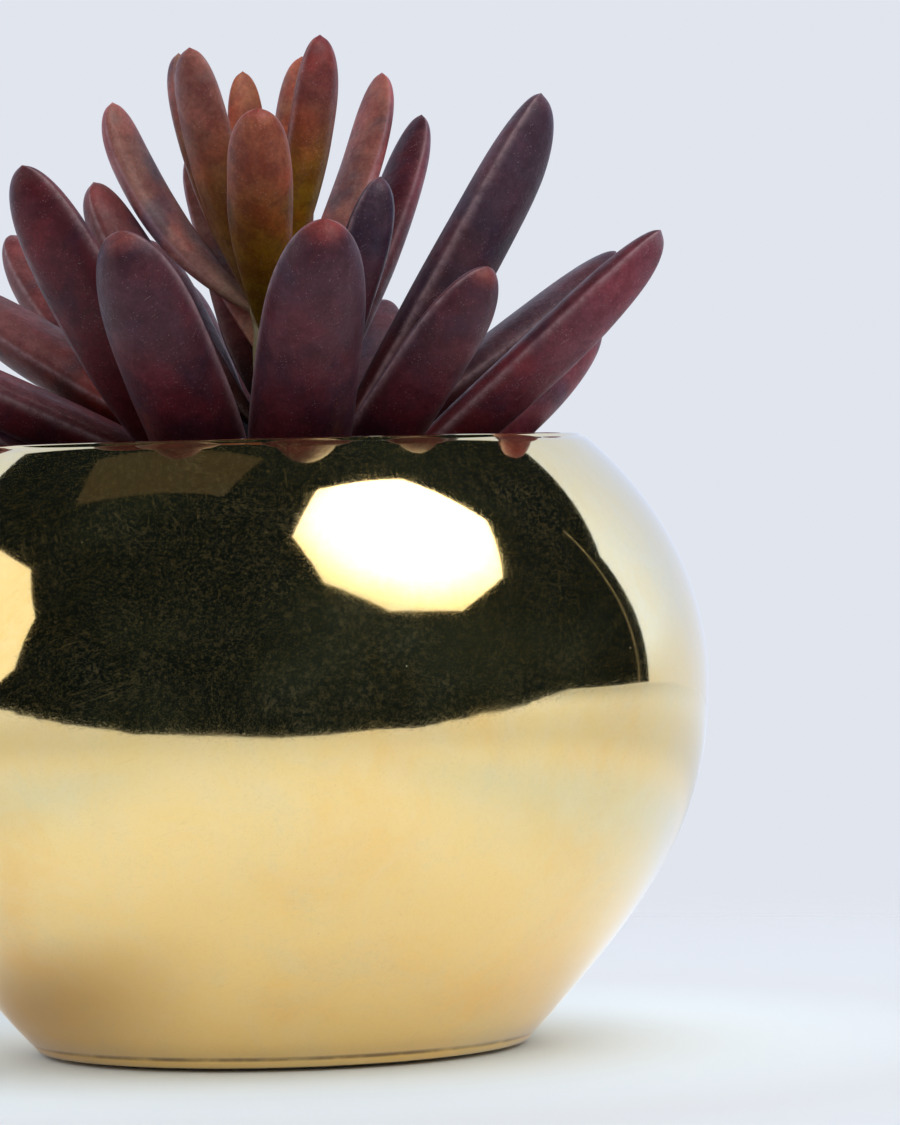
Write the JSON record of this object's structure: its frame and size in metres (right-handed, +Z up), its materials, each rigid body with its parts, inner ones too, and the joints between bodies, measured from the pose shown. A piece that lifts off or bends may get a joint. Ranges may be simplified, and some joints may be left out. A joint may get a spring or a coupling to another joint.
{
  "type": "planter pot",
  "caption": "Round polished brass planter pot, closed in at the mouth, with a purple rosette succulent in a plastic grow pot that lifts out.",
  "frame": {"origin": "centre of the pot's flat base, on the surface it stands on", "axes": "+Z up along the pot's axis, -Y towards the front of the plant, +X to its right"},
  "size_m": [0.12, 0.12, 0.1394],
  "materials": {
    "brass": "polished",
    "black_plastic": "matte",
    "soil": "rough",
    "stem": "satin",
    "leaf_purple": "satin",
    "leaf_red": "satin",
    "leaf_olive": "satin"
  },
  "bodies": {
    "pot": {"brass_pot": "brass"},
    "plant": {"grow_pot": "black_plastic", "soil": "soil", "stem": "stem", "lower_leaf_01": "leaf_purple", "lower_leaf_02": "leaf_purple", "lower_leaf_03": "leaf_purple", "lower_leaf_04": "leaf_purple", "lower_leaf_05": "leaf_purple", "lower_leaf_06": "leaf_purple", "lower_leaf_07": "leaf_purple", "lower_leaf_08": "leaf_purple", "lower_leaf_09": "leaf_purple", "lower_leaf_10": "leaf_purple", "lower_leaf_11": "leaf_purple", "lower_leaf_12": "leaf_purple", "lower_leaf_13": "leaf_purple", "lower_leaf_14": "leaf_purple", "lower_leaf_15": "leaf_purple", "lower_leaf_16": "leaf_purple", "lower_leaf_17": "leaf_purple", "middle_leaf_01": "leaf_red", "middle_leaf_02": "leaf_red", "middle_leaf_03": "leaf_red", "middle_leaf_04": "leaf_red", "middle_leaf_05": "leaf_red", "middle_leaf_06": "leaf_red", "middle_leaf_07": "leaf_red", "crown_leaf_01": "leaf_olive", "crown_leaf_02": "leaf_olive", "crown_leaf_03": "leaf_olive", "crown_leaf_04": "leaf_olive", "crown_leaf_05": "leaf_olive", "crown_leaf_06": "leaf_olive", "crown_leaf_07": "leaf_olive", "crown_leaf_08": "leaf_olive", "crown_leaf_09": "leaf_olive", "crown_leaf_10": "leaf_olive", "crown_leaf_11": "leaf_olive"}
  },
  "joints": [
    {"name": "plant_lift", "type": "slide", "parent": "pot", "child": "plant", "axis": [0, 0, 1], "range_m": [0, 0.1]}
  ]
}
